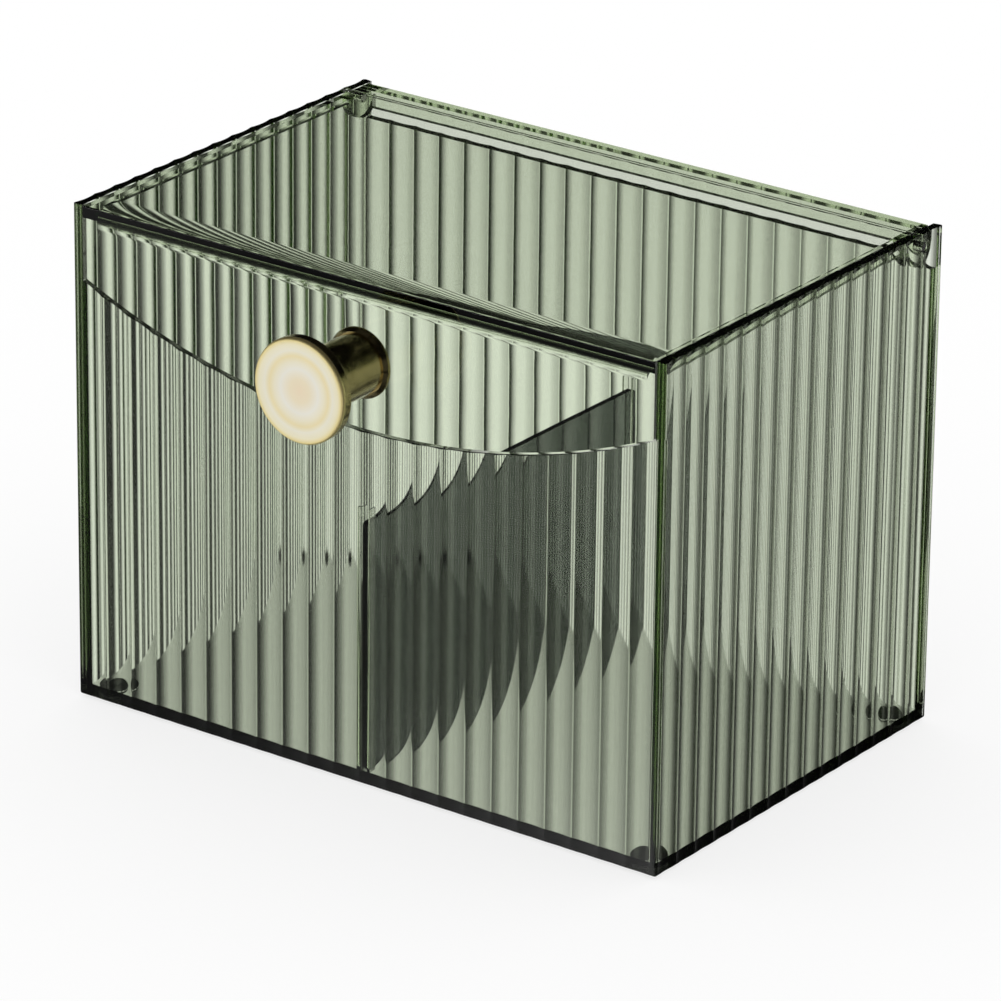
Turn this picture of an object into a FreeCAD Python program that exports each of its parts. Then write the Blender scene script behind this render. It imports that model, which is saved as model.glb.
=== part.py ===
import FreeCAD, Part
import math
import os
import re
import Sketcher
from FreeCAD import Placement, Rotation, Vector

os.makedirs("parts", exist_ok=True)
doc = FreeCAD.newDocument("LiddedBox")

# Driving dimensions in millimetres, except the two counts and the taper in degrees.
# The origin is the centre of the tub's underside: X to the right, Y to the back, Z up.
DIMENSIONS = {
    "box_width": 170.0,
    "box_depth": 113.0,
    "box_height": 126.0,
    "wall_thickness": 2.5,
    "floor_thickness": 2.6,
    "outer_corner_radius": 0.9,
    "base_edge_radius": 1.2,
    "inner_corner_radius": 1.5,
    "front_flutes": 22,
    "side_flutes": 15,
    "flute_depth": 0.45,
    "flute_land": 0.25,
    "corner_land": 0.8,
    "rear_wall_drop": 10.7,
    "side_wall_end_radius": 2.5,
    "lid_side_gap": 0.4,
    "lid_thickness": 2.5,
    "lid_rear_setback": 2.1,
    "skirt_drop": 3.6,
    "skirt_thickness": 2.4,
    "flap_middle_drop": 36.6,
    "flap_edge_radius": 198.0,
    "flap_edge_gap": 0.4,
    "flap_root_radius": 3.5,
    "flange_drop": 6.9,
    "hinge_setback": 7.5,
    "hinge_drop": 3.4,
    "lug_radius": 5.2,
    "lug_thickness": 2.8,
    "hinge_pin_radius": 1.25,
    "hinge_pin_length": 5.2,
    "pin_press_clearance": 0.02,
    "pin_running_clearance": 0.06,
    "rail_top": 69.4,
    "rail_thickness": 0.85,
    "rail_projection": 2.6,
    "rail_root": 1.0,
    "rail_taper": 0.2,
    "divider_thickness": 1.5,
    "divider_play": 0.15,
    "divider_top": 65.9,
    "divider_corner_radius": 1.0,
    "knob_drop": 19.8,
    "knob_reach": 23.4,
    "knob_head_radius": 12.8,
    "knob_head_thickness": 3.4,
    "knob_rim_radius": 0.8,
    "knob_dish_radius": 11.4,
    "knob_dish_depth": 0.5,
    "knob_stem_radius": 7.5,
    "collar_radius": 8.7,
    "collar_thickness": 1.8,
    "collar_edge_radius": 0.6,
    "screw_radius": 1.95,
    "screw_clearance": 0.05,
    "screw_head_radius": 3.6,
    "screw_head_height": 2.2,
    "screw_reach": 12.0,
    "screw_slot_width": 0.9,
    "screw_slot_depth": 1.1,
    "washer_radius": 5.0,
    "washer_thickness": 0.8,
    "flap_hole_radius": 2.2,
    "foot_radius": 4.0,
    "foot_inset": 7.0,
    "foot_thickness": 1.5,
    "foot_proud": 0.8,
    "foot_edge_radius": 0.3,
    "cut_overrun": 1.0,
    "rail_embedding": 0.1,
    "screw_tip_gap": 0.5,
}

sheet = doc.addObject("Spreadsheet::Sheet", "Sizes")
for row, (alias, value) in enumerate(DIMENSIONS.items(), start=1):
    sheet.set(f"A{row}", alias)
    sheet.set(f"B{row}", str(value))
    sheet.setAlias(f"B{row}", alias)
doc.recompute()

# An edge is the one looked for when it comes this near to the expected place or length.
NEAR = 0.05
# A round edge seen whole is longer than this many times its radius; a seam or an arc isn't.
FULL_CIRCLE = 0.95 * math.tau

AXIS_ALONG_X = Rotation(Vector(0, 1, 0), 90)
AXIS_ALONG_Y = Rotation(Vector(1, 0, 0), -90)
UPRIGHT = Rotation()

# Places that several pieces share, as formulas on the aliases.
INNER_HALF_WIDTH = "(box_width / 2 - wall_thickness)"
INNER_HALF_DEPTH = "(box_depth / 2 - wall_thickness)"
LID_HALF_WIDTH = "(box_width / 2 - wall_thickness - lid_side_gap)"
LID_LENGTH = "(box_depth - lid_rear_setback)"
FRONT = "(-box_depth / 2)"
HINGE_Y = "(box_depth / 2 - hinge_setback)"
HINGE_Z = "(box_height - hinge_drop)"
KNOB_Z = "(box_height - knob_drop)"
FLAP_ARC_CENTRE_Z = "(box_height - flap_middle_drop + flap_edge_radius)"
SLOT_HALF_WIDTH = "(divider_thickness / 2 + divider_play)"
STEM_REAR = "(-box_depth / 2 - collar_thickness)"
WASHER_REAR = "(-box_depth / 2 + lid_thickness + washer_thickness)"


def bound(formula):
    """Write a formula on the aliases the way an expression reads them from the sheet."""
    return re.sub(
        r"[a-z_]+",
        lambda word: "Sizes." + word[0] if word[0] in DIMENSIONS else word[0],
        formula,
    )


def new_body(name):
    body = doc.addObject("PartDesign::Body", name)
    body.Label = name
    return body


def primitive(body, kind, name, sizes, place, turn=UPRIGHT):
    """Add or cut a PartDesign box, cylinder or sphere, with its sizes and place bound."""
    feature = body.newObject("PartDesign::" + kind, name)
    for prop, formula in sizes.items():
        feature.setExpression(prop, bound(formula))
    feature.Placement = Placement(Vector(), turn)
    for axis, formula in zip("xyz", place):
        feature.setExpression("Placement.Base." + axis, bound(formula))
    doc.recompute()
    return feature


def rounded(body, name, base, radius, chosen):
    """Fillet the edges of the base feature whose midpoint and length suit the test."""
    names = []
    for index, edge in enumerate(base.Shape.Edges, start=1):
        middle = edge.valueAt((edge.FirstParameter + edge.LastParameter) / 2)
        if chosen(middle, edge.Length):
            names.append(f"Edge{index}")
    fillet = body.newObject("PartDesign::Fillet", name)
    fillet.Base = (base, names)
    fillet.setExpression("Radius", bound(radius))
    doc.recompute()
    return fillet


def new_sketch(body, name, plane_role, place, turn=UPRIGHT):
    """A sketch on one of the body's own origin planes, shifted by bound offsets."""
    sketch = body.newObject("Sketcher::SketchObject", name)
    plane = [item for item in body.Origin.OriginFeatures if item.Role == plane_role][0]
    sketch.AttachmentSupport = [(plane, "")]
    sketch.MapMode = "FlatFace"
    sketch.AttachmentOffset = Placement(Vector(), turn)
    for axis, formula in zip("xyz", place):
        sketch.setExpression("AttachmentOffset.Base." + axis, bound(formula))
    doc.recompute()
    return sketch


def join_ends(sketch, count):
    """Make the curves 0 to count - 1 follow each other end to start, in a loop."""
    for curve in range(count):
        following = (curve + 1) % count
        sketch.addConstraint(Sketcher.Constraint("Coincident", curve, 2, following, 1))


def driven(sketch, constraint, name, formula):
    """Add a constraint and bind its value to the sheet."""
    index = sketch.addConstraint(constraint)
    sketch.renameConstraint(index, name)
    sketch.setExpression("Constraints." + name, bound(formula))


def add_lines(sketch, points):
    for start, end in zip(points, points[1:]):
        sketch.addGeometry(Part.LineSegment(Vector(*start, 0), Vector(*end, 0)))


def rectangle_profile(sketch, width, height):
    """A rectangle about the sketch's origin."""
    add_lines(sketch, [(-1, -1), (1, -1), (1, 1), (-1, 1), (-1, -1)])
    join_ends(sketch, 4)
    for line in (0, 2):
        sketch.addConstraint(Sketcher.Constraint("Horizontal", line))
    for line in (1, 3):
        sketch.addConstraint(Sketcher.Constraint("Vertical", line))
    sketch.addConstraint(Sketcher.Constraint("Symmetric", 0, 1, 1, 2, -1, 1))
    driven(sketch, Sketcher.Constraint("DistanceX", 0, 1, 0, 2, 2.0), "width", width)
    driven(sketch, Sketcher.Constraint("DistanceY", 1, 1, 1, 2, 2.0), "height", height)
    doc.recompute()


def flute_profile(sketch, chord):
    """A shallow segment of a circle: its chord lies on the wall, its arc bites inwards."""
    half_chord = (sheet.box_width - 2 * sheet.corner_land) / sheet.front_flutes / 2
    radius = (half_chord**2 + sheet.flute_depth**2) / (2 * sheet.flute_depth)
    centre = Vector(0, sheet.flute_depth - radius, 0)
    lean = math.atan2(-centre.y, half_chord)
    circle = Part.Circle(centre, Vector(0, 0, 1), radius)
    add_lines(sketch, [(-half_chord, 0), (half_chord, 0)])
    sketch.addGeometry(Part.ArcOfCircle(circle, lean, math.pi - lean))
    join_ends(sketch, 2)
    sketch.addConstraint(Sketcher.Constraint("Horizontal", 0))
    sketch.addConstraint(Sketcher.Constraint("Symmetric", 0, 1, 0, 2, -1, 1))
    driven(sketch, Sketcher.Constraint("DistanceX", 0, 1, 0, 2, 2 * half_chord), "chord", chord)
    arc_radius = f"({chord} * {chord} / 4 + flute_depth * flute_depth) / (2 * flute_depth)"
    driven(sketch, Sketcher.Constraint("Radius", 1, radius), "arc_radius", arc_radius)
    doc.recompute()


def flap_profile(sketch, half_width, arc_radius):
    """The front flap's outline: straight sides and top, and a hanging arc below."""
    side = sheet.box_width / 2 - sheet.wall_thickness
    top = sheet.box_height
    radius = sheet.flap_edge_radius
    centre_z = top - sheet.flap_middle_drop + radius
    lean = math.asin(side / radius)
    low = centre_z - radius * math.cos(lean)
    circle = Part.Circle(Vector(0, centre_z, 0), Vector(0, 0, 1), radius)
    down = -math.pi / 2
    sketch.addGeometry(Part.ArcOfCircle(circle, down - lean, down + lean))
    add_lines(sketch, [(side, low), (side, top), (-side, top), (-side, low)])
    join_ends(sketch, 4)
    for line in (1, 3):
        sketch.addConstraint(Sketcher.Constraint("Vertical", line))
    sketch.addConstraint(Sketcher.Constraint("Symmetric", 1, 2, 2, 2, -2))
    sketch.addConstraint(Sketcher.Constraint("PointOnObject", 0, 3, -2))
    width = f"2 * {half_width}"
    driven(sketch, Sketcher.Constraint("DistanceX", 2, 2, 2, 1, 2 * side), "width", width)
    driven(sketch, Sketcher.Constraint("DistanceY", -1, 1, 1, 2, top), "top", "box_height")
    driven(sketch, Sketcher.Constraint("Radius", 0, radius), "arc_radius", arc_radius)
    centre = Sketcher.Constraint("DistanceY", -1, 1, 0, 3, centre_z)
    driven(sketch, centre, "centre_height", FLAP_ARC_CENTRE_Z)
    doc.recompute()


def extruded(body, kind, name, sketch, length=None, towards_back=False):
    """Pad or pocket a sketch; with no length a pocket goes through everything."""
    feature = body.newObject("PartDesign::" + kind, name)
    feature.Profile = sketch
    feature.Reversed = towards_back
    if length is None:
        feature.Type = "ThroughAll"
    else:
        feature.setExpression("Length", bound(length))
    doc.recompute()
    return feature


def fluted_wall(body, name, angle, count, width, start):
    """A row of upright flutes along one wall, whose sketch axis points along the row."""
    pitch = f"(({width} - 2 * corner_land) / {count})"
    along, outwards = start(pitch)
    turn = Rotation(Vector(0, 0, 1), angle)
    sketch = new_sketch(body, name + "_profile", "XY_Plane", (along, outwards, "0"), turn)
    flute_profile(sketch, f"({pitch} - flute_land)")
    flute = extruded(body, "Pocket", name, sketch, towards_back=True)
    row_of_flutes = body.newObject("PartDesign::LinearPattern", name + "_row")
    row_of_flutes.Originals = [flute]
    row_of_flutes.Direction = (sketch, ["H_Axis"])
    row_of_flutes.setExpression("Length", bound(f"{pitch} * ({count} - 1)"))
    row_of_flutes.setExpression("Occurrences", bound(count))
    body.Tip = row_of_flutes
    doc.recompute()


def make_tub():
    """The open box: fluted outside, smooth inside, cut away where the lid drops in."""
    tub = new_body("tub")
    outer = {"Length": "box_width", "Width": "box_depth", "Height": "box_height"}
    block = primitive(tub, "AdditiveBox", "block", outer, ("-box_width / 2", FRONT, "0"))
    upright = rounded(
        tub, "upright_corners", block, "outer_corner_radius",
        lambda middle, length: abs(length - sheet.box_height) < NEAR,
    )
    rounded(
        tub, "base_edges", upright, "base_edge_radius",
        lambda middle, length: middle.z < NEAR,
    )
    inner = {
        "Length": f"2 * {INNER_HALF_WIDTH}",
        "Width": f"2 * {INNER_HALF_DEPTH}",
        "Height": "box_height",
    }
    corner = (f"-{INNER_HALF_WIDTH}", f"-{INNER_HALF_DEPTH}", "floor_thickness")
    cavity = primitive(tub, "SubtractiveBox", "cavity", inner, corner)
    inner_width = sheet.box_width / 2 - sheet.wall_thickness
    inner_height = sheet.box_height - sheet.floor_thickness
    rounded(
        tub, "inner_corners", cavity, "inner_corner_radius",
        lambda middle, length: abs(abs(middle.x) - inner_width) < NEAR
        and abs(length - inner_height) < NEAR,
    )
    rear = {
        "Length": f"2 * {INNER_HALF_WIDTH}",
        "Width": "wall_thickness + inner_corner_radius + cut_overrun",
        "Height": "rear_wall_drop",
    }
    rear_corner = (
        f"-{INNER_HALF_WIDTH}",
        f"{INNER_HALF_DEPTH} - inner_corner_radius",
        "box_height - rear_wall_drop",
    )
    primitive(tub, "SubtractiveBox", "rear_notch", rear, rear_corner)
    opening = new_sketch(tub, "front_opening_profile", "XZ_Plane", ("0", "0", "box_depth / 2"))
    flap_profile(opening, INNER_HALF_WIDTH, "flap_edge_radius + flap_edge_gap")
    extruded(tub, "Pocket", "front_opening", opening, "wall_thickness + inner_corner_radius")
    round_rear_ends(tub)
    fluted_wall(
        tub, "front_flute", 0, "front_flutes", "box_width",
        lambda pitch: (f"-box_width / 2 + corner_land + {pitch} / 2", FRONT),
    )
    fluted_wall(
        tub, "right_flute", 90, "side_flutes", "box_depth",
        lambda pitch: ("box_width / 2", f"{FRONT} + corner_land + {pitch} / 2"),
    )
    fluted_wall(
        tub, "rear_flute", 180, "front_flutes", "box_width",
        lambda pitch: (f"box_width / 2 - corner_land - {pitch} / 2", "box_depth / 2"),
    )
    fluted_wall(
        tub, "left_flute", 270, "side_flutes", "box_depth",
        lambda pitch: ("-box_width / 2", f"box_depth / 2 - corner_land - {pitch} / 2"),
    )
    for side, x_sign in (("left", -1), ("right", 1)):
        for end, y_sign in (("front", -1), ("rear", 1)):
            rail_x = f"{x_sign} * ({SLOT_HALF_WIDTH} + rail_thickness / 2)"
            rail_y = f"{y_sign} * ({INNER_HALF_DEPTH} + (rail_root - rail_projection) / 2)"
            place = (rail_x, rail_y, "floor_thickness - rail_embedding")
            sketch = new_sketch(tub, f"rail_{end}_{side}_profile", "XY_Plane", place)
            rectangle_profile(sketch, "rail_thickness", "rail_root + rail_projection")
            rail_length = "rail_top - floor_thickness + rail_embedding"
            rail = extruded(tub, "Pad", f"rail_{end}_{side}", sketch, rail_length)
            rail.setExpression("TaperAngle", bound("-rail_taper"))
    hole = {
        "Radius": "hinge_pin_radius + pin_press_clearance",
        "Height": "box_width + 2 * cut_overrun",
    }
    hole_place = ("-box_width / 2 - cut_overrun", HINGE_Y, HINGE_Z)
    primitive(tub, "SubtractiveCylinder", "hinge_holes", hole, hole_place, AXIS_ALONG_X)
    for name, x_formula, y_formula in foot_places():
        seat = {"Radius": "foot_radius", "Height": "foot_thickness - foot_proud"}
        primitive(tub, "SubtractiveCylinder", name + "_seat", seat, (x_formula, y_formula, "0"))
    return tub


def round_rear_ends(tub):
    """Take the sharp top rear corner off both side walls, across the whole width."""
    place = ("box_depth / 2 - side_wall_end_radius", "box_height - side_wall_end_radius", "0")
    sketch = new_sketch(tub, "rear_ends_profile", "YZ_Plane", place)
    radius = sheet.side_wall_end_radius
    circle = Part.Circle(Vector(), Vector(0, 0, 1), radius)
    sketch.addGeometry(Part.ArcOfCircle(circle, 0, math.pi / 2))
    add_lines(sketch, [(0, radius), (radius, radius), (radius, 0)])
    join_ends(sketch, 3)
    sketch.addConstraint(Sketcher.Constraint("Coincident", 0, 3, -1, 1))
    sketch.addConstraint(Sketcher.Constraint("Horizontal", 1))
    sketch.addConstraint(Sketcher.Constraint("Vertical", 2))
    sketch.addConstraint(Sketcher.Constraint("PointOnObject", 0, 1, -1))
    sketch.addConstraint(Sketcher.Constraint("PointOnObject", 0, 2, -2))
    driven(sketch, Sketcher.Constraint("Radius", 0, radius), "radius", "side_wall_end_radius")
    doc.recompute()
    pocket = extruded(tub, "Pocket", "rear_ends", sketch, "2 * box_width")
    pocket.SideType = "Symmetric"
    doc.recompute()


def foot_places():
    """Name and place of each of the four feet, as formulas on the aliases."""
    places = []
    for end, y_sign in (("front", -1), ("rear", 1)):
        for side, x_sign in (("left", -1), ("right", 1)):
            x_formula = f"{x_sign} * (box_width / 2 - foot_inset)"
            y_formula = f"{y_sign} * (box_depth / 2 - foot_inset)"
            places.append((f"foot_{end}_{side}", x_formula, y_formula))
    return places


def make_lid():
    """The smooth lid: top plate, arched front flap, low skirts, rear flange, hinge lugs."""
    lid = new_body("lid")
    full_width = f"2 * {LID_HALF_WIDTH}"
    left = f"-{LID_HALF_WIDTH}"
    plate = {"Length": full_width, "Width": LID_LENGTH, "Height": "lid_thickness"}
    plate_place = (left, FRONT, "box_height - lid_thickness")
    primitive(lid, "AdditiveBox", "plate", plate, plate_place)
    flap = new_sketch(lid, "flap_profile", "XZ_Plane", ("0", "0", "box_depth / 2"))
    flap_profile(flap, LID_HALF_WIDTH, "flap_edge_radius")
    front = extruded(lid, "Pad", "flap", flap, "lid_thickness", towards_back=True)
    inner_y = -sheet.box_depth / 2 + sheet.lid_thickness
    inner_z = sheet.box_height - sheet.lid_thickness
    rounded(
        lid, "flap_root", front, "flap_root_radius",
        lambda middle, length: abs(middle.y - inner_y) < NEAR and abs(middle.z - inner_z) < NEAR,
    )
    flange = {"Length": full_width, "Width": "lid_thickness", "Height": "flange_drop"}
    flange_y = "box_depth / 2 - lid_rear_setback - lid_thickness"
    primitive(lid, "AdditiveBox", "flange", flange, (left, flange_y, "box_height - flange_drop"))
    skirt = {"Length": "skirt_thickness", "Width": LID_LENGTH, "Height": "skirt_drop"}
    skirt_z = "box_height - skirt_drop"
    primitive(lid, "AdditiveBox", "left_skirt", skirt, (left, FRONT, skirt_z))
    right_skirt_x = f"{LID_HALF_WIDTH} - skirt_thickness"
    primitive(lid, "AdditiveBox", "right_skirt", skirt, (right_skirt_x, FRONT, skirt_z))
    lug_round = {"Radius": "lug_radius", "Height": "lug_thickness"}
    lug_block = {"Length": "lug_thickness", "Width": "2 * lug_radius", "Height": "hinge_drop"}
    for side, lug_x in (("left", left), ("right", f"{LID_HALF_WIDTH} - lug_thickness")):
        lug_name = side + "_lug"
        round_place = (lug_x, HINGE_Y, HINGE_Z)
        primitive(lid, "AdditiveCylinder", lug_name, lug_round, round_place, AXIS_ALONG_X)
        block_place = (lug_x, f"{HINGE_Y} - lug_radius", HINGE_Z)
        primitive(lid, "AdditiveBox", lug_name + "_block", lug_block, block_place)
    trim = {"Length": "box_width", "Width": "box_depth", "Height": "lug_radius"}
    primitive(lid, "SubtractiveBox", "trim", trim, ("-box_width / 2", FRONT, "box_height"))
    bore = {"Radius": "hinge_pin_radius + pin_running_clearance", "Height": "box_width"}
    bore_place = ("-box_width / 2", HINGE_Y, HINGE_Z)
    primitive(lid, "SubtractiveCylinder", "pin_bores", bore, bore_place, AXIS_ALONG_X)
    hole = {"Radius": "flap_hole_radius", "Height": "lid_thickness + 2 * cut_overrun"}
    hole_place = ("0", f"{FRONT} - cut_overrun", KNOB_Z)
    primitive(lid, "SubtractiveCylinder", "screw_hole", hole, hole_place, AXIS_ALONG_Y)
    return lid


def make_hinge_pin(side, start):
    """A short steel pin, pressed into the side wall, on which a lug of the lid turns."""
    pin = new_body("hinge_pin_" + side)
    sizes = {"Radius": "hinge_pin_radius", "Height": "hinge_pin_length"}
    primitive(pin, "AdditiveCylinder", side + "_pin", sizes, (start, HINGE_Y, HINGE_Z), AXIS_ALONG_X)
    return pin


def make_divider():
    """The loose plate that stands in the rails and parts the tub in two."""
    divider = new_body("divider")
    half_depth = f"({INNER_HALF_DEPTH} - divider_play)"
    sizes = {
        "Length": "divider_thickness",
        "Width": f"2 * {half_depth}",
        "Height": "divider_top - floor_thickness",
    }
    place = ("-divider_thickness / 2", f"-{half_depth}", "floor_thickness")
    plate = primitive(divider, "AdditiveBox", "divider_plate", sizes, place)
    rounded(
        divider, "divider_corners", plate, "divider_corner_radius",
        lambda middle, length: abs(length - sheet.divider_thickness) < NEAR,
    )
    return divider


def make_knob():
    """The turned knob: a wide, slightly dished head on a plain round stem."""
    knob = new_body("knob")
    head = {"Radius": "knob_head_radius", "Height": "knob_head_thickness"}
    head_place = ("0", f"{FRONT} - knob_reach", KNOB_Z)
    disc = primitive(knob, "AdditiveCylinder", "head", head, head_place, AXIS_ALONG_Y)
    rounded(
        knob, "rim", disc, "knob_rim_radius",
        lambda middle, length: length > FULL_CIRCLE * sheet.knob_head_radius,
    )
    stem = {
        "Radius": "knob_stem_radius",
        "Height": "knob_reach - collar_thickness - knob_head_thickness / 2",
    }
    stem_place = ("0", f"{FRONT} - knob_reach + knob_head_thickness / 2", KNOB_Z)
    primitive(knob, "AdditiveCylinder", "stem", stem, stem_place, AXIS_ALONG_Y)
    dish_radius = (
        "((knob_dish_radius * knob_dish_radius + knob_dish_depth * knob_dish_depth)"
        " / (2 * knob_dish_depth))"
    )
    dish_place = ("0", f"{FRONT} - knob_reach + knob_dish_depth - {dish_radius}", KNOB_Z)
    primitive(knob, "SubtractiveSphere", "dish", {"Radius": dish_radius}, dish_place)
    hole = {"Radius": "screw_radius + screw_clearance", "Height": "screw_reach"}
    hole_place = ("0", f"{STEM_REAR} - screw_reach + screw_tip_gap", KNOB_Z)
    primitive(knob, "SubtractiveCylinder", "thread_hole", hole, hole_place, AXIS_ALONG_Y)
    return knob


def make_collar():
    """The thin round collar between the knob's stem and the flap."""
    collar = new_body("knob_collar")
    ring = {"Radius": "collar_radius", "Height": "collar_thickness"}
    place = ("0", STEM_REAR, KNOB_Z)
    disc = primitive(collar, "AdditiveCylinder", "collar_disc", ring, place, AXIS_ALONG_Y)
    front_y = -sheet.box_depth / 2 - sheet.collar_thickness
    rounded(
        collar, "collar_edge", disc, "collar_edge_radius",
        lambda middle, length: length > FULL_CIRCLE * sheet.collar_radius
        and middle.y < front_y + NEAR,
    )
    hole = {"Radius": "flap_hole_radius", "Height": "collar_thickness + 2 * cut_overrun"}
    hole_place = ("0", f"{STEM_REAR} - cut_overrun", KNOB_Z)
    primitive(collar, "SubtractiveCylinder", "collar_hole", hole, hole_place, AXIS_ALONG_Y)
    return collar


def make_screw():
    """The slotted screw that holds the knob, put in from behind the flap."""
    screw = new_body("knob_screw")
    head = {"Radius": "screw_head_radius", "Height": "screw_head_height"}
    head_place = ("0", WASHER_REAR, KNOB_Z)
    primitive(screw, "AdditiveCylinder", "screw_head", head, head_place, AXIS_ALONG_Y)
    shank = {"Radius": "screw_radius", "Height": "screw_reach + screw_head_height / 2"}
    shank_place = ("0", f"{WASHER_REAR} - screw_reach", KNOB_Z)
    primitive(screw, "AdditiveCylinder", "shank", shank, shank_place, AXIS_ALONG_Y)
    slot = {
        "Length": "screw_slot_width",
        "Width": "screw_slot_depth + cut_overrun",
        "Height": "2 * (screw_head_radius + cut_overrun)",
    }
    slot_place = (
        "-screw_slot_width / 2",
        f"{WASHER_REAR} + screw_head_height - screw_slot_depth",
        f"{KNOB_Z} - screw_head_radius - cut_overrun",
    )
    primitive(screw, "SubtractiveBox", "slot", slot, slot_place)
    return screw


def make_washer():
    """The flat washer under the screw's head, on the flap's inner face."""
    washer = new_body("knob_washer")
    ring = {"Radius": "washer_radius", "Height": "washer_thickness"}
    place = ("0", f"{FRONT} + lid_thickness", KNOB_Z)
    primitive(washer, "AdditiveCylinder", "washer_disc", ring, place, AXIS_ALONG_Y)
    hole = {"Radius": "flap_hole_radius", "Height": "washer_thickness + 2 * cut_overrun"}
    hole_place = ("0", f"{FRONT} + lid_thickness - cut_overrun", KNOB_Z)
    primitive(washer, "SubtractiveCylinder", "washer_hole", hole, hole_place, AXIS_ALONG_Y)
    return washer


def make_foot(name, x_formula, y_formula):
    """A round anti-slip pad, stuck into its seat in the underside."""
    foot = new_body(name)
    pad = {"Radius": "foot_radius", "Height": "foot_thickness"}
    place = (x_formula, y_formula, "-foot_proud")
    disc = primitive(foot, "AdditiveCylinder", name + "_pad", pad, place)
    rounded(
        foot, name + "_edge", disc, "foot_edge_radius",
        lambda middle, length: length > FULL_CIRCLE * sheet.foot_radius
        and middle.z < NEAR - sheet.foot_proud,
    )
    return foot


left_pin_start = "-box_width / 2 + flute_depth"
right_pin_start = "box_width / 2 - flute_depth - hinge_pin_length"
pieces = [
    make_tub(),
    make_lid(),
    make_hinge_pin("left", left_pin_start),
    make_hinge_pin("right", right_pin_start),
    make_divider(),
    make_knob(),
    make_collar(),
    make_screw(),
    make_washer(),
]
for foot_name, foot_x, foot_y in foot_places():
    pieces.append(make_foot(foot_name, foot_x, foot_y))
doc.recompute()

for item in doc.Objects:
    if "Invalid" in item.State or "Error" in item.State:
        raise RuntimeError(f"{item.Name} failed: {item.State}")
for piece in pieces:
    shape = piece.Shape
    if shape.isNull() or not shape.isValid():
        raise RuntimeError(f"{piece.Label} has no valid shape")
    print(f"{piece.Label}: {len(shape.Solids)} solid, {shape.Volume:.1f} mm3, {shape.BoundBox}")
for piece in pieces:
    piece.Shape.exportStep(f"parts/{piece.Label}.step")
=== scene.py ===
import math

import bpy
from mathutils import Matrix, Vector


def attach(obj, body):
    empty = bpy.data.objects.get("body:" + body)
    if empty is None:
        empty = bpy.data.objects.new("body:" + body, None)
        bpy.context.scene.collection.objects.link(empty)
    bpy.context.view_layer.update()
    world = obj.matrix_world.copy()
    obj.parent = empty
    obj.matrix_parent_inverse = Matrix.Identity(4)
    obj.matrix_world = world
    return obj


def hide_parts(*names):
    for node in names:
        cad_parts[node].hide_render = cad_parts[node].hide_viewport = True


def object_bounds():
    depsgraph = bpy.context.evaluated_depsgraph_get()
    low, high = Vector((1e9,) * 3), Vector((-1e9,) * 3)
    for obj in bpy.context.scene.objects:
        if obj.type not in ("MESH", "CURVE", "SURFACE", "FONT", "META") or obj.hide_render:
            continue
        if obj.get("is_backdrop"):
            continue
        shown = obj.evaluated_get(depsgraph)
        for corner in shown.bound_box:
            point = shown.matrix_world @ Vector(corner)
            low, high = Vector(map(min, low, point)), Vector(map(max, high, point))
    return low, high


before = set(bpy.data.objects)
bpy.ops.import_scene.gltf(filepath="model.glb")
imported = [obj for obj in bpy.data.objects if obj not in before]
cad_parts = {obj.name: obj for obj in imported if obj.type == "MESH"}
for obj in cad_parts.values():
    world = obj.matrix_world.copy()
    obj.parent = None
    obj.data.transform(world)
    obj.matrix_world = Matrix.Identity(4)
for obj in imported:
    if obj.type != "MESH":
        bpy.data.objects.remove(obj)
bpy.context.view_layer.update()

mm = 0.001

# The camera stands in front of the box, to the right and above, far away with a long lens. It is
# turned a little about its own line of sight.
target = Vector((-0.948, 0, 53.10)) * mm
azimuth = math.radians(35.994)
elevation = math.radians(22.496)
roll = math.radians(0.645)
distance = 1670.3
back = Vector((
    math.sin(azimuth) * math.cos(elevation),
    -math.cos(azimuth) * math.cos(elevation),
    math.sin(elevation),
))
right = Vector((math.cos(azimuth), math.sin(azimuth), 0))
up = back.cross(right)
rolled_right = right * math.cos(roll) + up * math.sin(roll)
rolled_up = up * math.cos(roll) - right * math.sin(roll)
bpy.ops.object.select_all(action="DESELECT")
bpy.ops.object.camera_add()
camera = bpy.context.object
camera_axes = Matrix((rolled_right, rolled_up, back)).transposed().to_4x4()
camera.matrix_world = Matrix.Translation(target + back * distance * mm) @ camera_axes
camera.data.sensor_width = 36
camera.data.lens = 252.03
camera.data.clip_end = 50
bpy.context.scene.camera = camera

# The box stands on a plain white sweep, so wide that every view ends on it. Plastic and metal show
# the studio through it, with a painted shadow right under the box.
def new_finish(name):
    """Make a material, and return it with its nodes, its links and its main shader."""
    finish = bpy.data.materials.new(name)
    finish.use_nodes = True
    tree = finish.node_tree
    return finish, tree.nodes, tree.links, tree.nodes["Principled BSDF"]


half_width, half_depth = 85, 56.5
foot_proud = 0.8
bpy.ops.mesh.primitive_plane_add(size=40, location=(0, 0, -foot_proud * mm))
sweep = bpy.context.object
sweep.name = "sweep"
sweep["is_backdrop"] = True
sweep_paint, nodes, links, paint = new_finish("sweep_paint")
paint.inputs["Base Color"].default_value = (0.9, 0.9, 0.9, 1)
paint.inputs["Roughness"].default_value = 0.9
paint.inputs["Specular IOR Level"].default_value = 0.0
glow = nodes.new("ShaderNodeEmission")
glow.inputs["Strength"].default_value = 1.045
shade = nodes.new("ShaderNodeMixShader")
shade.inputs["Fac"].default_value = 0.3
links.new(glow.outputs["Emission"], shade.inputs[1])
links.new(paint.outputs["BSDF"], shade.inputs[2])
ground = nodes.new("ShaderNodeTexCoord")
spread = nodes.new("ShaderNodeVectorMath")
spread.operation = "ABSOLUTE"
links.new(ground.outputs["Object"], spread.inputs[0])
outward = nodes.new("ShaderNodeVectorMath")
outward.operation = "DIVIDE"
outward.inputs[1].default_value = (half_width * mm, half_depth * mm, 1)
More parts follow.
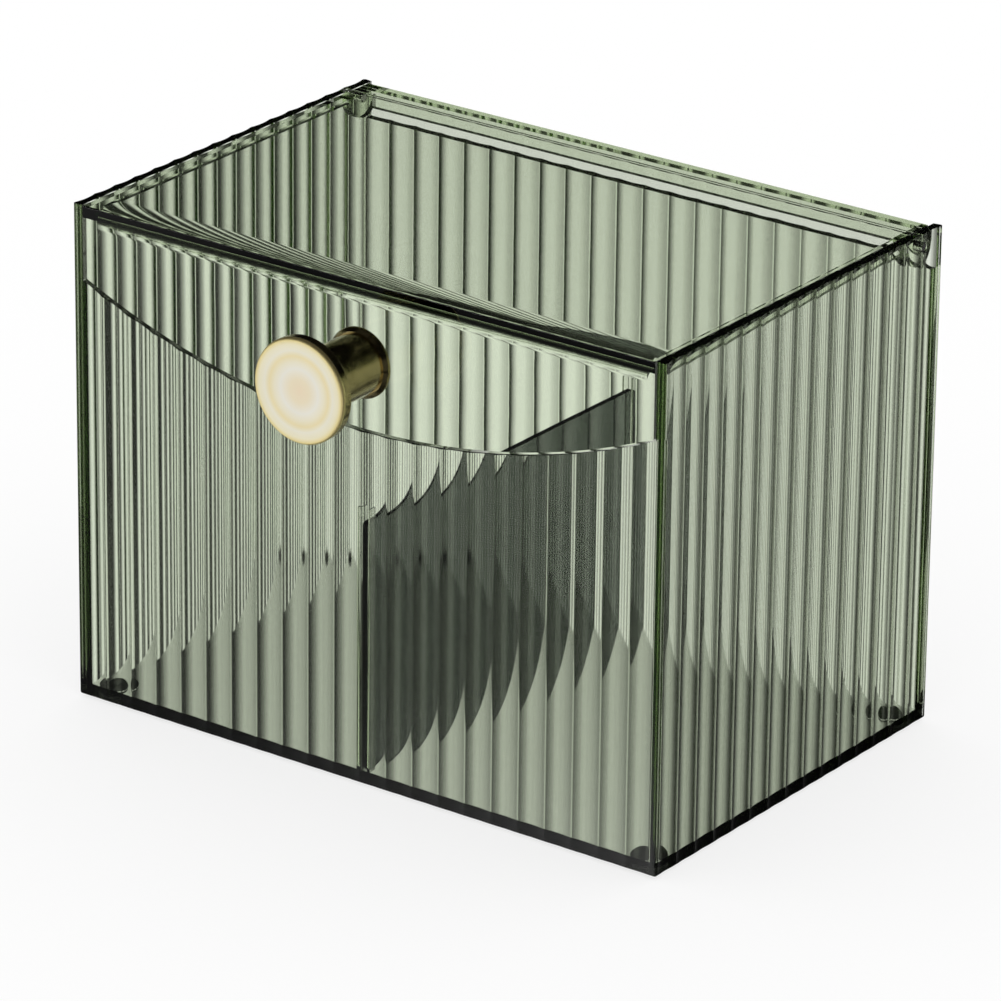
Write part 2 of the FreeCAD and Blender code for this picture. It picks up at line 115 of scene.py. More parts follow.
links.new(spread.outputs["Vector"], outward.inputs[0])
sides = nodes.new("ShaderNodeSeparateXYZ")
links.new(outward.outputs["Vector"], sides.inputs["Vector"])
furthest = nodes.new("ShaderNodeMath")
furthest.operation = "MAXIMUM"
links.new(sides.outputs["X"], furthest.inputs[0])
links.new(sides.outputs["Y"], furthest.inputs[1])
# Painted shadow: what glass and metal see of the floor is dimmed to 0.65 inside the box's footprint.
painted_shadow_under_box = nodes.new("ShaderNodeMapRange")
painted_shadow_under_box.inputs["From Min"].default_value = 0.97
painted_shadow_under_box.inputs["From Max"].default_value = 1.05
painted_shadow_under_box.inputs["To Min"].default_value = 0.65
painted_shadow_under_box.inputs["To Max"].default_value = 1.0
links.new(furthest.outputs["Value"], painted_shadow_under_box.inputs["Value"])
through = nodes.new("ShaderNodeBsdfTransparent")
links.new(painted_shadow_under_box.outputs["Result"], through.inputs["Color"])
seen_by = nodes.new("ShaderNodeLightPath")
mirrored = nodes.new("ShaderNodeMath")
mirrored.operation = "MAXIMUM"
links.new(seen_by.outputs["Is Glossy Ray"], mirrored.inputs[0])
links.new(seen_by.outputs["Is Transmission Ray"], mirrored.inputs[1])
choice = nodes.new("ShaderNodeMixShader")
links.new(mirrored.outputs["Value"], choice.inputs["Fac"])
links.new(shade.outputs["Shader"], choice.inputs[1])
links.new(through.outputs["BSDF"], choice.inputs[2])
links.new(choice.outputs["Shader"], nodes["Material Output"].inputs["Surface"])
sweep.data.materials.append(sweep_paint)

# The studio: white panels, none brighter than white, stand in a ring with dark gaps between them. It is
# dark overhead and straight below, so plastic seen from high above looks black. What shines through
# plastic meets one ring, what mirrors in plastic and metal another, and the rest gets even white light.
def fill_ramp(ramp_node, stops):
    """Set a colour ramp's stops from pairs of place and colour, in rising order."""
    stops_there = ramp_node.color_ramp.elements
    for number, (place, colour) in enumerate(stops):
        stop = stops_there[number] if number < 2 else stops_there.new(place)
        stop.position = place
        stop.color = (*colour, 1)


studio = bpy.data.worlds.new("studio")
bpy.context.scene.world = studio
studio.use_nodes = True
nodes = studio.node_tree.nodes
links = studio.node_tree.links
light = nodes["Background"]
light.inputs["Color"].default_value = (1, 1, 1, 1)
direction = nodes.new("ShaderNodeTexCoord")
parts = nodes.new("ShaderNodeSeparateXYZ")
links.new(direction.outputs["Generated"], parts.inputs["Vector"])
leftward = nodes.new("ShaderNodeMath")
leftward.operation = "MULTIPLY"
leftward.inputs[1].default_value = -1
links.new(parts.outputs["X"], leftward.inputs[0])
bearing = nodes.new("ShaderNodeMath")
bearing.operation = "ARCTAN2"
links.new(leftward.outputs["Value"], bearing.inputs[0])
links.new(parts.outputs["Y"], bearing.inputs[1])
share = nodes.new("ShaderNodeMapRange")
share.inputs["From Min"].default_value = -math.pi
share.inputs["From Max"].default_value = math.pi
links.new(bearing.outputs["Value"], share.inputs["Value"])
rings = []
for panels in (
    (
        (-180, 0.95), (-172, 0.95), (-157, 0.04), (-142, 0.95), (-128, 0.95), (-112, 0.04), (-97, 0.95),
        (-83, 0.95), (-67, 0.04), (-52, 0.9), (-44, 0.9), (-34, 0.04), (-22, 0.04), (-12, 0.85), (-4, 0.85),
        (6, 0.04), (13, 0.04), (24, 0.42), (30, 0.78), (33, 1.0), (39, 1.0), (43, 0.58), (48, 0.03),
        (68, 0.03), (80, 0.9), (98, 0.9), (110, 0.04), (120, 0.95), (135, 0.95), (139, 0.04), (149, 0.04),
        (153, 0.95),
    ),
    (
        (-180, 1.0), (-166, 0.1), (-150, 0.8), (-138, 0.8), (-126, 0.08), (-60, 0.05), (-20, 0.05), (2, 0.3),
        (9, 0.3), (30, 0.1), (80, 0.1), (94, 0.05), (104, 1.0), (179, 1.0),
    ),
):
    ring = nodes.new("ShaderNodeValToRGB")
    fill_ramp(ring, [((angle + 180) / 360, (level, level, level)) for angle, level in panels])
    links.new(share.outputs["Result"], ring.inputs["Fac"])
    rings.append(ring)
seen_by = nodes.new("ShaderNodeLightPath")
around = nodes.new("ShaderNodeMix")
links.new(seen_by.outputs["Is Transmission Ray"], around.inputs["Factor"])
links.new(rings[1].outputs["Color"], around.inputs["A"])
links.new(rings[0].outputs["Color"], around.inputs["B"])
height = nodes.new("ShaderNodeMapRange")
height.inputs["From Min"].default_value = -1
height.inputs["From Max"].default_value = 1
links.new(parts.outputs["Z"], height.inputs["Value"])
falls = []
for levels in (
    ((-0.9, 0.03), (-0.74, 1.0), (0.1, 1.0), (0.24, 0.03)),
    (
        (-0.95, 0.3), (-0.7, 0.9), (-0.44, 1.0), (-0.41, 0.1),
        (-0.35, 0.1), (-0.32, 1.0), (0.1, 1.0), (0.24, 0.03),
    ),
):
    fall = nodes.new("ShaderNodeValToRGB")
    fill_ramp(fall, [((rise + 1) / 2, (level, level, level)) for rise, level in levels])
    links.new(height.outputs["Result"], fall.inputs["Fac"])
    falls.append(fall)
tall = nodes.new("ShaderNodeMix")
links.new(seen_by.outputs["Is Transmission Ray"], tall.inputs["Factor"])
links.new(falls[1].outputs["Color"], tall.inputs["A"])
links.new(falls[0].outputs["Color"], tall.inputs["B"])
stripes = nodes.new("ShaderNodeMath")
stripes.operation = "MULTIPLY"
links.new(around.outputs["Result"], stripes.inputs[0])
links.new(tall.outputs["Result"], stripes.inputs[1])
mirrored = nodes.new("ShaderNodeMath")
mirrored.operation = "MAXIMUM"
links.new(seen_by.outputs["Is Glossy Ray"], mirrored.inputs[0])
links.new(seen_by.outputs["Is Transmission Ray"], mirrored.inputs[1])
strength = nodes.new("ShaderNodeMix")
links.new(mirrored.outputs["Value"], strength.inputs["Factor"])
strength.inputs["A"].default_value = 1.0
links.new(stripes.outputs["Value"], strength.inputs["B"])
links.new(strength.outputs["Result"], light.inputs["Strength"])

scene = bpy.context.scene
scene.view_settings.view_transform = "Standard"
scene.cycles.max_bounces = 24
scene.cycles.transmission_bounces = 24
scene.cycles.glossy_bounces = 12


# Tub: one moulding of clear grey-green plastic, open at the top. All four walls are smooth
# inside and fluted outside, and the front wall is cut away in an arc where the lid's flap hangs.
def add_block(name, low, high):
    """Add a block that fills the space between two corners, in millimetres."""
    centre = (Vector(low) + Vector(high)) / 2 * mm
    bpy.ops.object.select_all(action="DESELECT")
    bpy.ops.mesh.primitive_cube_add(size=1, location=centre, scale=(Vector(high) - Vector(low)) * mm)
    bpy.ops.object.transform_apply(location=True, rotation=True, scale=True)
    bpy.context.object.name = name
    return bpy.context.object


def add_round_bar(name, radius, start, end, vertices):
    """Add a round bar that runs from one point to another, in millimetres."""
    start, end = Vector(start) * mm, Vector(end) * mm
    tilt = (end - start).to_track_quat("Z", "Y").to_euler()
    bpy.ops.object.select_all(action="DESELECT")
    middle = (start + end) / 2
    bpy.ops.mesh.primitive_cylinder_add(
        vertices=vertices, radius=radius * mm, depth=(end - start).length, location=middle, rotation=tilt
    )
    bpy.ops.object.transform_apply(location=True, rotation=True, scale=True)
    bpy.context.object.name = name
    return bpy.context.object


def pick(piece):
    """Select one piece alone and make it the active one."""
    bpy.ops.object.select_all(action="DESELECT")
    piece.select_set(True)
    bpy.context.view_layer.objects.active = piece


def select_edges(piece, wanted):
    """Go into edit mode with the edges selected whose two ends, in millimetres, suit the test."""
    pick(piece)
    bpy.ops.object.mode_set(mode="EDIT")
    bpy.ops.mesh.select_mode(type="EDGE")
    bpy.ops.mesh.select_all(action="DESELECT")
    bpy.ops.object.mode_set(mode="OBJECT")
    points = piece.data.vertices
    for edge in piece.data.edges:
        a, b = (points[index].co / mm for index in edge.vertices)
        edge.select = wanted(a, b)
    bpy.ops.object.mode_set(mode="EDIT")


def select_faces(piece, wanted):
    """Go into edit mode with the faces selected whose middle, in millimetres, and normal suit the test."""
    pick(piece)
    bpy.ops.object.mode_set(mode="EDIT")
    bpy.ops.mesh.select_mode(type="FACE")
    bpy.ops.mesh.select_all(action="DESELECT")
    bpy.ops.object.mode_set(mode="OBJECT")
    for face in piece.data.polygons:
        face.select = wanted(face.center / mm, face.normal)
    bpy.ops.object.mode_set(mode="EDIT")


def round_edges(piece, radius, segments, wanted):
    """Round the edges that suit the test, with a radius in millimetres."""
    select_edges(piece, wanted)
    bpy.ops.mesh.bevel(offset=radius * mm, segments=segments, profile=0.5, affect="EDGES")
    bpy.ops.object.mode_set(mode="OBJECT")


def trim(piece, place, normal):
    """Cut the piece by a plane, close it there, and throw away the side that normal points to."""
    pick(piece)
    bpy.ops.object.mode_set(mode="EDIT")
    bpy.ops.mesh.select_all(action="SELECT")
    bpy.ops.mesh.bisect(
        plane_co=Vector(place) * mm, plane_no=normal, use_fill=True, clear_outer=True, threshold=1e-7
    )
    bpy.ops.object.mode_set(mode="OBJECT")


def combine(piece, tool, operation):
    """Cut the tool out of the piece, weld it on, or keep what both hold."""
    pick(piece)
    boolean = piece.modifiers.new("boolean", "BOOLEAN")
    boolean.operation = operation
    boolean.solver = "EXACT"
    boolean.object = tool
    bpy.ops.object.modifier_apply(modifier=boolean.name)
    bpy.data.objects.remove(tool)


def along(axis, a, b):
    """Whether an edge from a to b runs along the axis: 0 is X, 1 is Y and 2 is Z."""
    return abs((b - a).normalized()[axis]) > 0.999


box_height, floor_top = 126, 2.6
inside_x, inside_y = 82.5, 54
above_box = 140
tub = add_block("tub_moulding", (-half_width, -half_depth, 0), (half_width, half_depth, box_height))
round_edges(tub, 0.6, 6, lambda a, b: along(2, a, b))
round_edges(tub, 0.55, 6, lambda a, b: max(a.z, b.z) < 0.01)
round_edges(tub, 2.5, 10, lambda a, b: (
    min(a.z, b.z) > box_height - 0.1 and along(0, a, b) and a.y > 50 and abs(b.x - a.x) > 10
))

hollow = add_block("hollow", (-inside_x, -inside_y, floor_top), (inside_x, inside_y, above_box))
round_edges(hollow, 0.5, 5, lambda a, b: along(2, a, b))
combine(tub, hollow, "DIFFERENCE")
foot_x, foot_y = 78, 49.5
for x in (-foot_x, foot_x):
    for y in (-foot_y, foot_y):
        combine(tub, add_round_bar("foot_seat", 4.03, (x, y, -1), (x, y, 0.73), 64), "DIFFERENCE")
rear_wall_top = 115.3
rear_notch = add_block("rear_notch", (-inside_x, 52.5, rear_wall_top), (inside_x, 60, above_box))
combine(tub, rear_notch, "DIFFERENCE")
arc_centre_z, arch_radius = 287.4, 198.4
arch = add_round_bar("arch", arch_radius, (0, -60, arc_centre_z), (0, -52.5, arc_centre_z), 900)
trim(arch, (0, 0, above_box), (0, 0, 1))
trim(arch, (inside_x, 0, 0), (1, 0, 0))
trim(arch, (-inside_x, 0, 0), (-1, 0, 0))
combine(tub, arch, "DIFFERENCE")

flute_depth, flute_gap, plain_corner = 0.45, 0.25, 0.8
for wall, count, width, face, facing in (
    ("front", 22, 2 * half_width, half_depth, 0), ("right", 15, 2 * half_depth, half_width, 90),
    ("rear", 22, 2 * half_width, half_depth, 180), ("left", 15, 2 * half_depth, half_width, 270),
):
    pitch = (width - 2 * plain_corner) / count
    chord = pitch - flute_gap
    radius = (chord * chord / 4 + flute_depth * flute_depth) / (2 * flute_depth)
    first = -width / 2 + plain_corner + pitch / 2
    axis_y = flute_depth - radius - face
    flutes = add_round_bar(wall + "_flutes", radius, (first, axis_y, -5), (first, axis_y, 135), 190)
    trim(flutes, (0, -face, 0), (0, -1, 0))
    select_faces(flutes, lambda middle, normal: normal.y < -0.999 and middle.y < 0.001 - face)
    bpy.ops.mesh.extrude_region_move(TRANSFORM_OT_translate={"value": (0, -1 * mm, 0)})
    bpy.ops.mesh.select_all(action="SELECT")
    bpy.ops.mesh.normals_make_consistent(inside=False)
    bpy.ops.object.mode_set(mode="OBJECT")
    row = flutes.modifiers.new("row", "ARRAY")
    row.count = count
    row.use_relative_offset = False
    row.use_constant_offset = True
    row.constant_offset_displace = (pitch * mm, 0, 0)
    bpy.ops.object.modifier_apply(modifier=row.name)
    flutes.rotation_euler = (0, 0, math.radians(facing))
    bpy.ops.object.transform_apply(location=True, rotation=True, scale=True)
    combine(tub, flutes, "DIFFERENCE")

rail_top = 69.4
for side in (-1, 1):
    for end in (-1, 1):
        near, far = sorted((side * 0.9, side * 1.75))
        front_y, rear_y = sorted((end * 51.4, end * 55.0))
        rail = add_block("rail", (near, front_y, 2.5), (far, rear_y, rail_top))
        round_edges(rail, 0.4, 5, lambda a, b: along(2, a, b) and abs(a.y) < 51.5)
        select_faces(rail, lambda middle, normal: normal.z > 0.9)
        rail_middle = Vector(((near + far) / 2, (front_y + rear_y) / 2, rail_top)) * mm
        bpy.ops.transform.resize(value=(0.45, 0.87, 1), center_override=rail_middle)
        bpy.ops.object.mode_set(mode="OBJECT")
        combine(tub, rail, "UNION")
hinge_y, hinge_z = 49, 122.6
hinge_hole = add_round_bar("hinge_hole", 1.27, (-90, hinge_y, hinge_z), (90, hinge_y, hinge_z), 48)
combine(tub, hinge_hole, "DIFFERENCE")


def smooth(piece, angle):
    """Shade round faces round and keep flat faces truly flat, as glass needs."""
    pick(piece)
    bpy.ops.object.shade_smooth_by_angle(angle=math.radians(angle))
    weighted = piece.modifiers.new("weighted", "WEIGHTED_NORMAL")
    weighted.keep_sharp = True
    weighted.weight = 100
    bpy.ops.object.modifier_apply(modifier=weighted.name)


smooth(tub, 20)

tinted, nodes, links, plastic = new_finish("tinted_plastic")
plastic.inputs["Base Color"].default_value = (1, 1, 1, 1)
plastic.inputs["Roughness"].default_value = 0.05
plastic.inputs["IOR"].default_value = 1.5
plastic.inputs["Transmission Weight"].default_value = 1.0
tint = nodes.new("ShaderNodeVolumeAbsorption")
tint.inputs["Color"].default_value = (0.55, 0.69, 0.355, 1)
tint.inputs["Density"].default_value = 145
links.new(tint.outputs["Volume"], nodes["Material Output"].inputs["Volume"])
ground = nodes.new("ShaderNodeTexCoord")
ripple = nodes.new("ShaderNodeTexNoise")
ripple.inputs["Scale"].default_value = 75
ripple.inputs["Detail"].default_value = 1.5
links.new(ground.outputs["Object"], ripple.inputs["Vector"])
flow = nodes.new("ShaderNodeBump")
flow.inputs["Strength"].default_value = 1.0
flow.inputs["Distance"].default_value = 0.00002
links.new(ripple.outputs["Fac"], flow.inputs["Height"])
links.new(flow.outputs["Normal"], plastic.inputs["Normal"])
tub.data.materials.append(tinted)
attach(tub, "tub")
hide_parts("tub")

# Lid: one moulding of the same plastic, polished smoother than the tub. A flat plate with an arched
# flap in front, a short flange behind, a low skirt on each side and a lug for each hinge pin. The
# plate runs down into the flap in a round sweep.
lid_half_width, plate_under = 82.1, 123.5
lid = add_block("lid_moulding", (-lid_half_width, -half_depth, 80), (lid_half_width, 54.4, box_height))
under_lid = add_block("under_lid", (-79.7, -inside_y, 70), (79.7, 51.9, plate_under))
round_edges(under_lid, 3.5, 12, lambda a, b: min(a.z, b.z) > 123 and along(0, a, b) and a.y < 0)
inner_corner = Vector((0, -inside_y, plate_under)) * mm
select_edges(under_lid, lambda a, b: max(a.y, b.y) < -50.4 and min(a.z, b.z) > 119.9)
bpy.ops.transform.resize(value=(1, 2, 1), center_override=inner_corner)
bpy.ops.object.mode_set(mode="OBJECT")
combine(lid, under_lid, "DIFFERENCE")
for side in (-1, 1):
    low, high = sorted((side * 79.0, side * 90))
    combine(lid, add_block("beside_flap", (low, -inside_y, 70), (high, 60, 122.4)), "DIFFERENCE")
round_edges(lid, 0.35, 4, lambda a, b: min(a.z, b.z) > 125.99 and along(0, a, b) and a.y < 0)
combine(lid, add_block("below_flange", (-90, 45, 70), (90, 60, 119.1)), "DIFFERENCE")
flap_radius = 198
flap_arc = add_round_bar("flap_arc", flap_radius, (0, -70, arc_centre_z), (0, 70, arc_centre_z), 900)
combine(lid, flap_arc, "INTERSECT")
for side in (-1, 1):
    low, high = sorted((side * 79.3, side * lid_half_width))
    lug = add_round_bar("lug", 5.2, (low, hinge_y, hinge_z), (high, hinge_y, hinge_z), 96)
    trim(lug, (0, 0, 124), (0, 0, 1))
    combine(lid, lug, "UNION")
pin_bore = add_round_bar("pin_bore", 1.31, (-90, hinge_y, hinge_z), (90, hinge_y, hinge_z), 48)
combine(lid, pin_bore, "DIFFERENCE")
knob_z = 106.2
screw_hole = add_round_bar("screw_hole", 2.2, (0, -60, knob_z), (0, -50, knob_z), 48)
combine(lid, screw_hole, "DIFFERENCE")
smooth(lid, 11)
polished = tinted.copy()
polished.name = "polished_plastic"
polished.node_tree.nodes["Principled BSDF"].inputs["Roughness"].default_value = 0.0
polished.node_tree.nodes["Bump"].inputs["Distance"].default_value = 0.00001
lid.data.materials.append(polished)
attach(lid, "lid")
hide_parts("lid")

# Divider: a loose flat plate cut from a darker, smoke-grey plastic. It stands between the tub's
# rails by its own weight and lifts straight out.
divider = add_block("divider_plate", (-0.75, -53.85, 2.65), (0.75, 53.85, 65.9))
round_edges(divider, 1.0, 8, lambda a, b: along(0, a, b))
smooth(divider, 20)
smoked = tinted.copy()
smoked.name = "smoked_plastic"
smoked.node_tree.nodes["Volume Absorption"].inputs["Color"].default_value = (0.36, 0.39, 0.37, 1)
smoked.node_tree.nodes["Volume Absorption"].inputs["Density"].default_value = 1750
divider.data.materials.append(smoked)
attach(divider, "divider")
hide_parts("divider")

# Knob: a round pull turned from brass and plated in pale gold, with a dished face, a rolled rim and
# a stem. Its blind hole takes the screw that comes through the flap from inside.
def turn(name, outline, centre, axis):
    """Turn a solid from points (radius, place along the axis), all in millimetres."""
    outward = Vector((0, 0, 1)) if axis[2] == 0 else Vector((1, 0, 0))
    points = [
        Vector(centre) * mm + outward * radius * mm + Vector(axis) * place * mm
        for radius, place in outline
    ]
    bpy.ops.object.select_all(action="DESELECT")
    bpy.ops.mesh.primitive_plane_add(size=0.1 * mm, location=points[0])
    bpy.ops.object.transform_apply(location=True, rotation=True, scale=True)
    bpy.ops.object.mode_set(mode="EDIT")
    bpy.ops.mesh.select_mode(type="VERT")
    bpy.ops.mesh.select_all(action="SELECT")
    bpy.ops.mesh.merge(type="CENTER")
    ends = points[1:] + (points[:1] if outline[0][0] > 0 else [])
    for before, after in zip(points, ends):
        bpy.ops.mesh.extrude_region_move(TRANSFORM_OT_translate={"value": after - before})
    bpy.ops.mesh.select_all(action="SELECT")
    bpy.ops.mesh.spin(steps=120, angle=math.tau, center=Vector(centre) * mm, axis=axis)
    bpy.ops.mesh.select_all(action="SELECT")
    bpy.ops.mesh.remove_doubles(threshold=0.002 * mm)
    bpy.ops.mesh.normals_make_consistent(inside=False)
    bpy.ops.object.mode_set(mode="OBJECT")
    bpy.context.object.name = name
    return bpy.context.object


def on_ring(radius, y):
    """A test for the edges of one ring on a piece turned about the knob's axis."""
    def is_there(point):
        return abs(point.y - y) < 0.005 and abs(math.hypot(point.x, point.z - knob_z) - radius) < 0.005
    return lambda a, b: is_there(a) and is_there(b)


knob_centre, knob_axis = (0, 0, knob_z), (0, 1, 0)
knob_radius = 12.8
knob = turn("knob_turning", (
    (0, -79.4), (2.3, -79.42), (4.6, -79.48), (6.9, -79.58), (9.1, -79.72), (11.4, -79.9),
    (knob_radius, -79.9), (knob_radius, -76.5), (8.1, -76.5), (7.5, -75.9), (7.5, -58.3),
    (2.1, -58.3), (2.1, -66), (0, -66.8),
), knob_centre, knob_axis)
round_edges(knob, 0.3, 4, on_ring(11.4, -79.9))
round_edges(knob, 0.75, 8, on_ring(knob_radius, -79.9))
round_edges(knob, 0.4, 4, on_ring(knob_radius, -76.5))
smooth(knob, 28)

gold, nodes, links, plate = new_finish("gold_plate")
plate.inputs["Metallic"].default_value = 1.0
ground = nodes.new("ShaderNodeTexCoord")
centred = nodes.new("ShaderNodeMapping")
centred.inputs["Location"].default_value = (0, 0, -knob_z * mm)
links.new(ground.outputs["Object"], centred.inputs["Vector"])
sides = nodes.new("ShaderNodeSeparateXYZ")
links.new(centred.outputs["Vector"], sides.inputs["Vector"])
flat = nodes.new("ShaderNodeCombineXYZ")
links.new(sides.outputs["X"], flat.inputs["X"])
links.new(sides.outputs["Z"], flat.inputs["Z"])
from_axis = nodes.new("ShaderNodeVectorMath")
from_axis.operation = "LENGTH"
links.new(flat.outputs["Vector"], from_axis.inputs[0])
reach = nodes.new("ShaderNodeMapRange")
reach.inputs["From Max"].default_value = knob_radius * mm
links.new(from_axis.outputs["Value"], reach.inputs["Value"])
# Painted reflection: the face's colour runs in pale and darker gold rings outward from the axis, standing in
# for the studio mirrored in the dish.
painted_reflection_rings = nodes.new("ShaderNodeValToRGB")
fill_ramp(painted_reflection_rings, (
    (0.0, (0.98, 0.84, 0.62)), (0.22, (0.98, 0.88, 0.66)), (0.42, (0.98, 0.95, 0.84)),
    (0.55, (0.98, 0.92, 0.72)), (0.66, (0.97, 0.86, 0.54)), (0.76, (0.98, 0.94, 0.78)),
    (0.88, (0.98, 0.92, 0.68)), (0.96, (0.94, 0.80, 0.38)),
))
links.new(reach.outputs["Result"], painted_reflection_rings.inputs["Fac"])
on_face = nodes.new("ShaderNodeMapRange")
on_face.inputs["From Min"].default_value = -0.0786
on_face.inputs["From Max"].default_value = -0.0792
links.new(sides.outputs["Y"], on_face.inputs["Value"])
patches = nodes.new("ShaderNodeTexNoise")
patches.inputs["Scale"].default_value = 260
patches.inputs["Detail"].default_value = 3
links.new(centred.outputs["Vector"], patches.inputs["Vector"])
# Painted shade: stem, rim and collar get a much darker gold than the face, standing in for dark surroundings
# mirrored in them; the noise varies that tone at random.
painted_shade_body_tone = nodes.new("ShaderNodeMix")
painted_shade_body_tone.data_type = "RGBA"
painted_shade_body_tone.inputs["A"].default_value = (0.30, 0.245, 0.11, 1)
painted_shade_body_tone.inputs["B"].default_value = (0.42, 0.35, 0.17, 1)
links.new(patches.outputs["Fac"], painted_shade_body_tone.inputs["Factor"])
colour_of_plate = nodes.new("ShaderNodeMix")
colour_of_plate.data_type = "RGBA"
links.new(on_face.outputs["Result"], colour_of_plate.inputs["Factor"])
links.new(painted_shade_body_tone.outputs["Result"], colour_of_plate.inputs["A"])
links.new(painted_reflection_rings.outputs["Color"], colour_of_plate.inputs["B"])
links.new(colour_of_plate.outputs["Result"], plate.inputs["Base Color"])
wear = nodes.new("ShaderNodeMapRange")
wear.inputs["To Min"].default_value = 0.07
wear.inputs["To Max"].default_value = 0.17
links.new(patches.outputs["Fac"], wear.inputs["Value"])
satin = nodes.new("ShaderNodeMath")
satin.operation = "MULTIPLY_ADD"
satin.inputs[1].default_value = 0.38
links.new(on_face.outputs["Result"], satin.inputs[0])
links.new(wear.outputs["Result"], satin.inputs[2])
links.new(satin.outputs["Value"], plate.inputs["Roughness"])
lathe_marks = nodes.new("ShaderNodeMath")
lathe_marks.operation = "MULTIPLY"
lathe_marks.inputs[1].default_value = 26000
links.new(from_axis.outputs["Value"], lathe_marks.inputs[0])
wave = nodes.new("ShaderNodeMath")
wave.operation = "SINE"
links.new(lathe_marks.outputs["Value"], wave.inputs[0])
turned = nodes.new("ShaderNodeBump")
turned.inputs["Strength"].default_value = 0.08
turned.inputs["Distance"].default_value = 0.00001
links.new(wave.outputs["Value"], turned.inputs["Height"])
links.new(turned.outputs["Normal"], plate.inputs["Normal"])
knob.data.materials.append(gold)
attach(knob, "lid")
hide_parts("knob")

# Knob collar: a thin turned ring of the same plated brass, clamped between stem and flap. It spreads
# the pull over the plastic, and its front edge is rolled.
collar_outline = ((2.1, -56.5), (8.7, -56.5), (8.7, -57.2), (7.9, -58.3), (2.1, -58.3))
collar = turn("knob_collar_ring", collar_outline, knob_centre, knob_axis)
round_edges(collar, 0.3, 4, on_ring(8.7, -57.2))
round_edges(collar, 0.15, 2, on_ring(8.7, -56.5))
smooth(collar, 28)
collar.data.materials.append(gold)
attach(collar, "lid")
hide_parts("knob_collar")

# Screw and washer: a plain steel pan-head machine screw with a straight slot, and a flat washer under
# it. They sit inside the box behind the flap and draw the knob against it.
threads = []
for number in range(10):
    threads += [
        (1.95, -54.6 - number), (1.95, -54.9 - number), (1.62, -55.15 - number), (1.62, -55.35 - number)
    ]
screw = turn("knob_screw_turning", (
    (0, -51.0), (1.6, -51.05), (2.9, -51.35), (3.5, -51.95), (3.6, -52.6), (3.6, -53.2), (1.95, -53.2),
    *threads, (1.95, -64.8), (1.5, -65.2), (0, -65.2),
), knob_centre, knob_axis)
combine(screw, add_block("slot", (-0.45, -52.1, 102), (0.45, -50, 110.4)), "DIFFERENCE")
smooth(screw, 30)
washer_outline = ((2.1, -54.0), (5.0, -54.0), (5.0, -53.2), (2.1, -53.2))
washer = turn("knob_washer_ring", washer_outline, knob_centre, knob_axis)
round_edges(washer, 0.12, 2, on_ring(5.0, -54.0))
round_edges(washer, 0.2, 3, on_ring(5.0, -53.2))
smooth(washer, 30)

steel, nodes, links, bright = new_finish("bright_steel")
bright.inputs["Metallic"].default_value = 1.0
ground = nodes.new("ShaderNodeTexCoord")
grain = nodes.new("ShaderNodeTexNoise")
grain.inputs["Scale"].default_value = 900
grain.inputs["Detail"].default_value = 4
links.new(ground.outputs["Object"], grain.inputs["Vector"])
shade_of_steel = nodes.new("ShaderNodeValToRGB")
fill_ramp(shade_of_steel, ((0.3, (0.50, 0.50, 0.49)), (0.7, (0.66, 0.66, 0.64))))
links.new(grain.outputs["Fac"], shade_of_steel.inputs["Fac"])
links.new(shade_of_steel.outputs["Color"], bright.inputs["Base Color"])
haze = nodes.new("ShaderNodeMapRange")
haze.inputs["To Min"].default_value = 0.15
haze.inputs["To Max"].default_value = 0.32
links.new(grain.outputs["Fac"], haze.inputs["Value"])
links.new(haze.outputs["Result"], bright.inputs["Roughness"])
for piece, node in ((screw, "knob_screw"), (washer, "knob_washer")):
    piece.data.materials.append(steel)
    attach(piece, "lid")
    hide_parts(node)

# Hinge pins: two short steel pins pressed through the tub's side walls from outside. Each reaches
# through a lug of the lid, which turns on it.
pin_outline = ((0, 79.35), (0.95, 79.35), (1.25, 79.65), (1.25, 84.3), (1.1, 84.55), (0, 84.55))
for side, node in ((-1, "hinge_pin_left"), (1, "hinge_pin_right")):
    pin = turn(node + "_turning", pin_outline, (0, hinge_y, hinge_z), (side, 0, 0))
    smooth(pin, 30)
    pin.data.materials.append(steel)
    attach(pin, "tub")
    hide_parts(node)

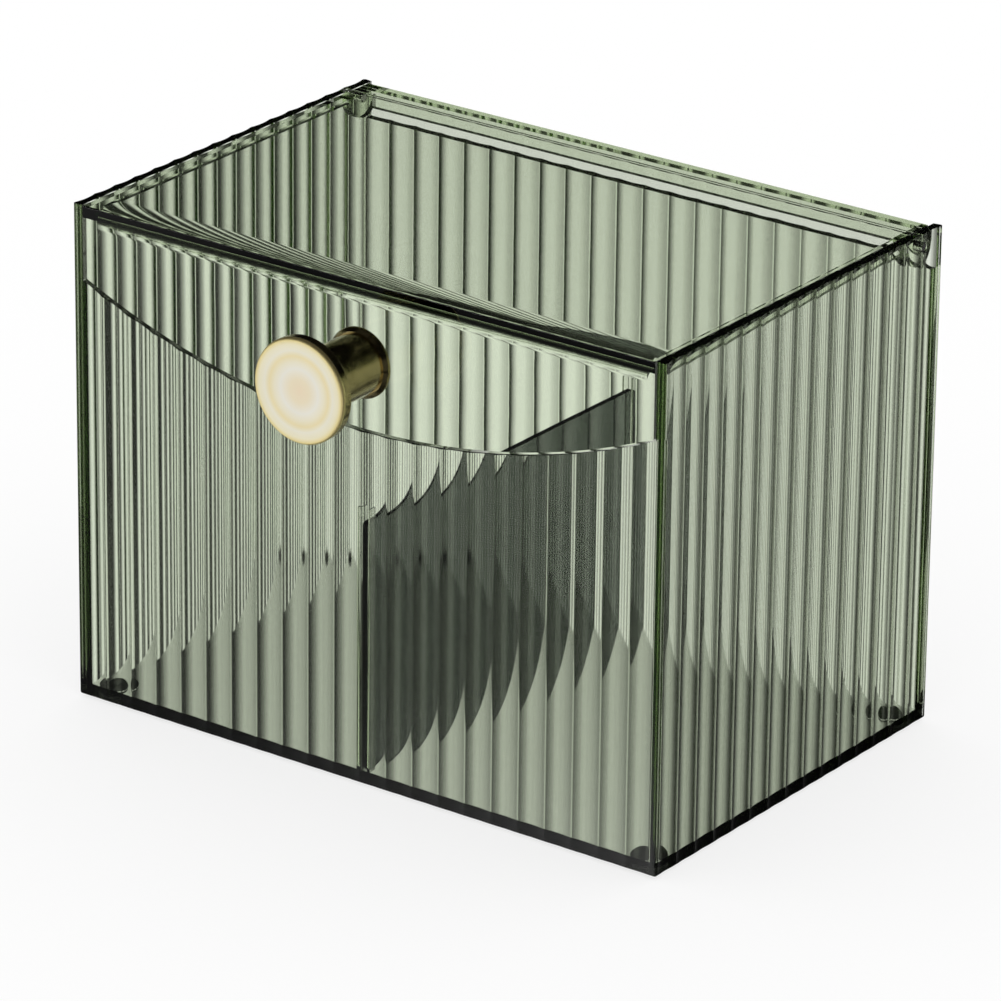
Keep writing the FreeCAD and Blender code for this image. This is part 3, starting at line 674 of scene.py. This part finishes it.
# Feet: four soft dark rubber discs pressed into round seats under the tub. Their rims are rounded and
# their undersides a little crowned, and they lift the tub less than a millimetre.
foot_pad = turn("foot_pad", (
    (0, -foot_proud), (2.4, -0.78), (3.3, -0.72), (3.75, -0.6), (3.95, -0.4), (4.0, -0.15), (4.0, 0.6),
    (3.9, 0.7), (0, 0.7),
), (-foot_x, -foot_y, 0), (0, 0, 1))
smooth(foot_pad, 30)
rubber, nodes, links, soft = new_finish("foot_rubber")
soft.inputs["Specular IOR Level"].default_value = 0.35
ground = nodes.new("ShaderNodeTexCoord")
mottle = nodes.new("ShaderNodeTexNoise")
mottle.inputs["Scale"].default_value = 1500
mottle.inputs["Detail"].default_value = 5
links.new(ground.outputs["Object"], mottle.inputs["Vector"])
shade_of_rubber = nodes.new("ShaderNodeValToRGB")
fill_ramp(shade_of_rubber, ((0.35, (0.012, 0.015, 0.012)), (0.7, (0.035, 0.04, 0.034))))
links.new(mottle.outputs["Fac"], shade_of_rubber.inputs["Fac"])
links.new(shade_of_rubber.outputs["Color"], soft.inputs["Base Color"])
softness = nodes.new("ShaderNodeMapRange")
softness.inputs["To Min"].default_value = 0.5
softness.inputs["To Max"].default_value = 0.75
links.new(mottle.outputs["Fac"], softness.inputs["Value"])
links.new(softness.outputs["Result"], soft.inputs["Roughness"])
pitted = nodes.new("ShaderNodeBump")
pitted.inputs["Strength"].default_value = 0.3
pitted.inputs["Distance"].default_value = 0.00004
links.new(mottle.outputs["Fac"], pitted.inputs["Height"])
links.new(pitted.outputs["Normal"], soft.inputs["Normal"])
foot_pad.data.materials.append(rubber)
for shift_x, shift_y, node in (
    (0, 0, "foot_front_left"), (2 * foot_x, 0, "foot_front_right"),
    (0, 2 * foot_y, "foot_rear_left"), (2 * foot_x, 2 * foot_y, "foot_rear_right"),
):
    foot = foot_pad.copy()
    foot.data = foot_pad.data.copy()
    foot.name = node + "_pad"
    bpy.context.collection.objects.link(foot)
    pick(foot)
    bpy.ops.transform.translate(value=(shift_x * mm, shift_y * mm, 0))
    bpy.ops.object.transform_apply(location=True, rotation=True, scale=True)
    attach(foot, "tub")
    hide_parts(node)
bpy.data.objects.remove(foot_pad)

low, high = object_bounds()
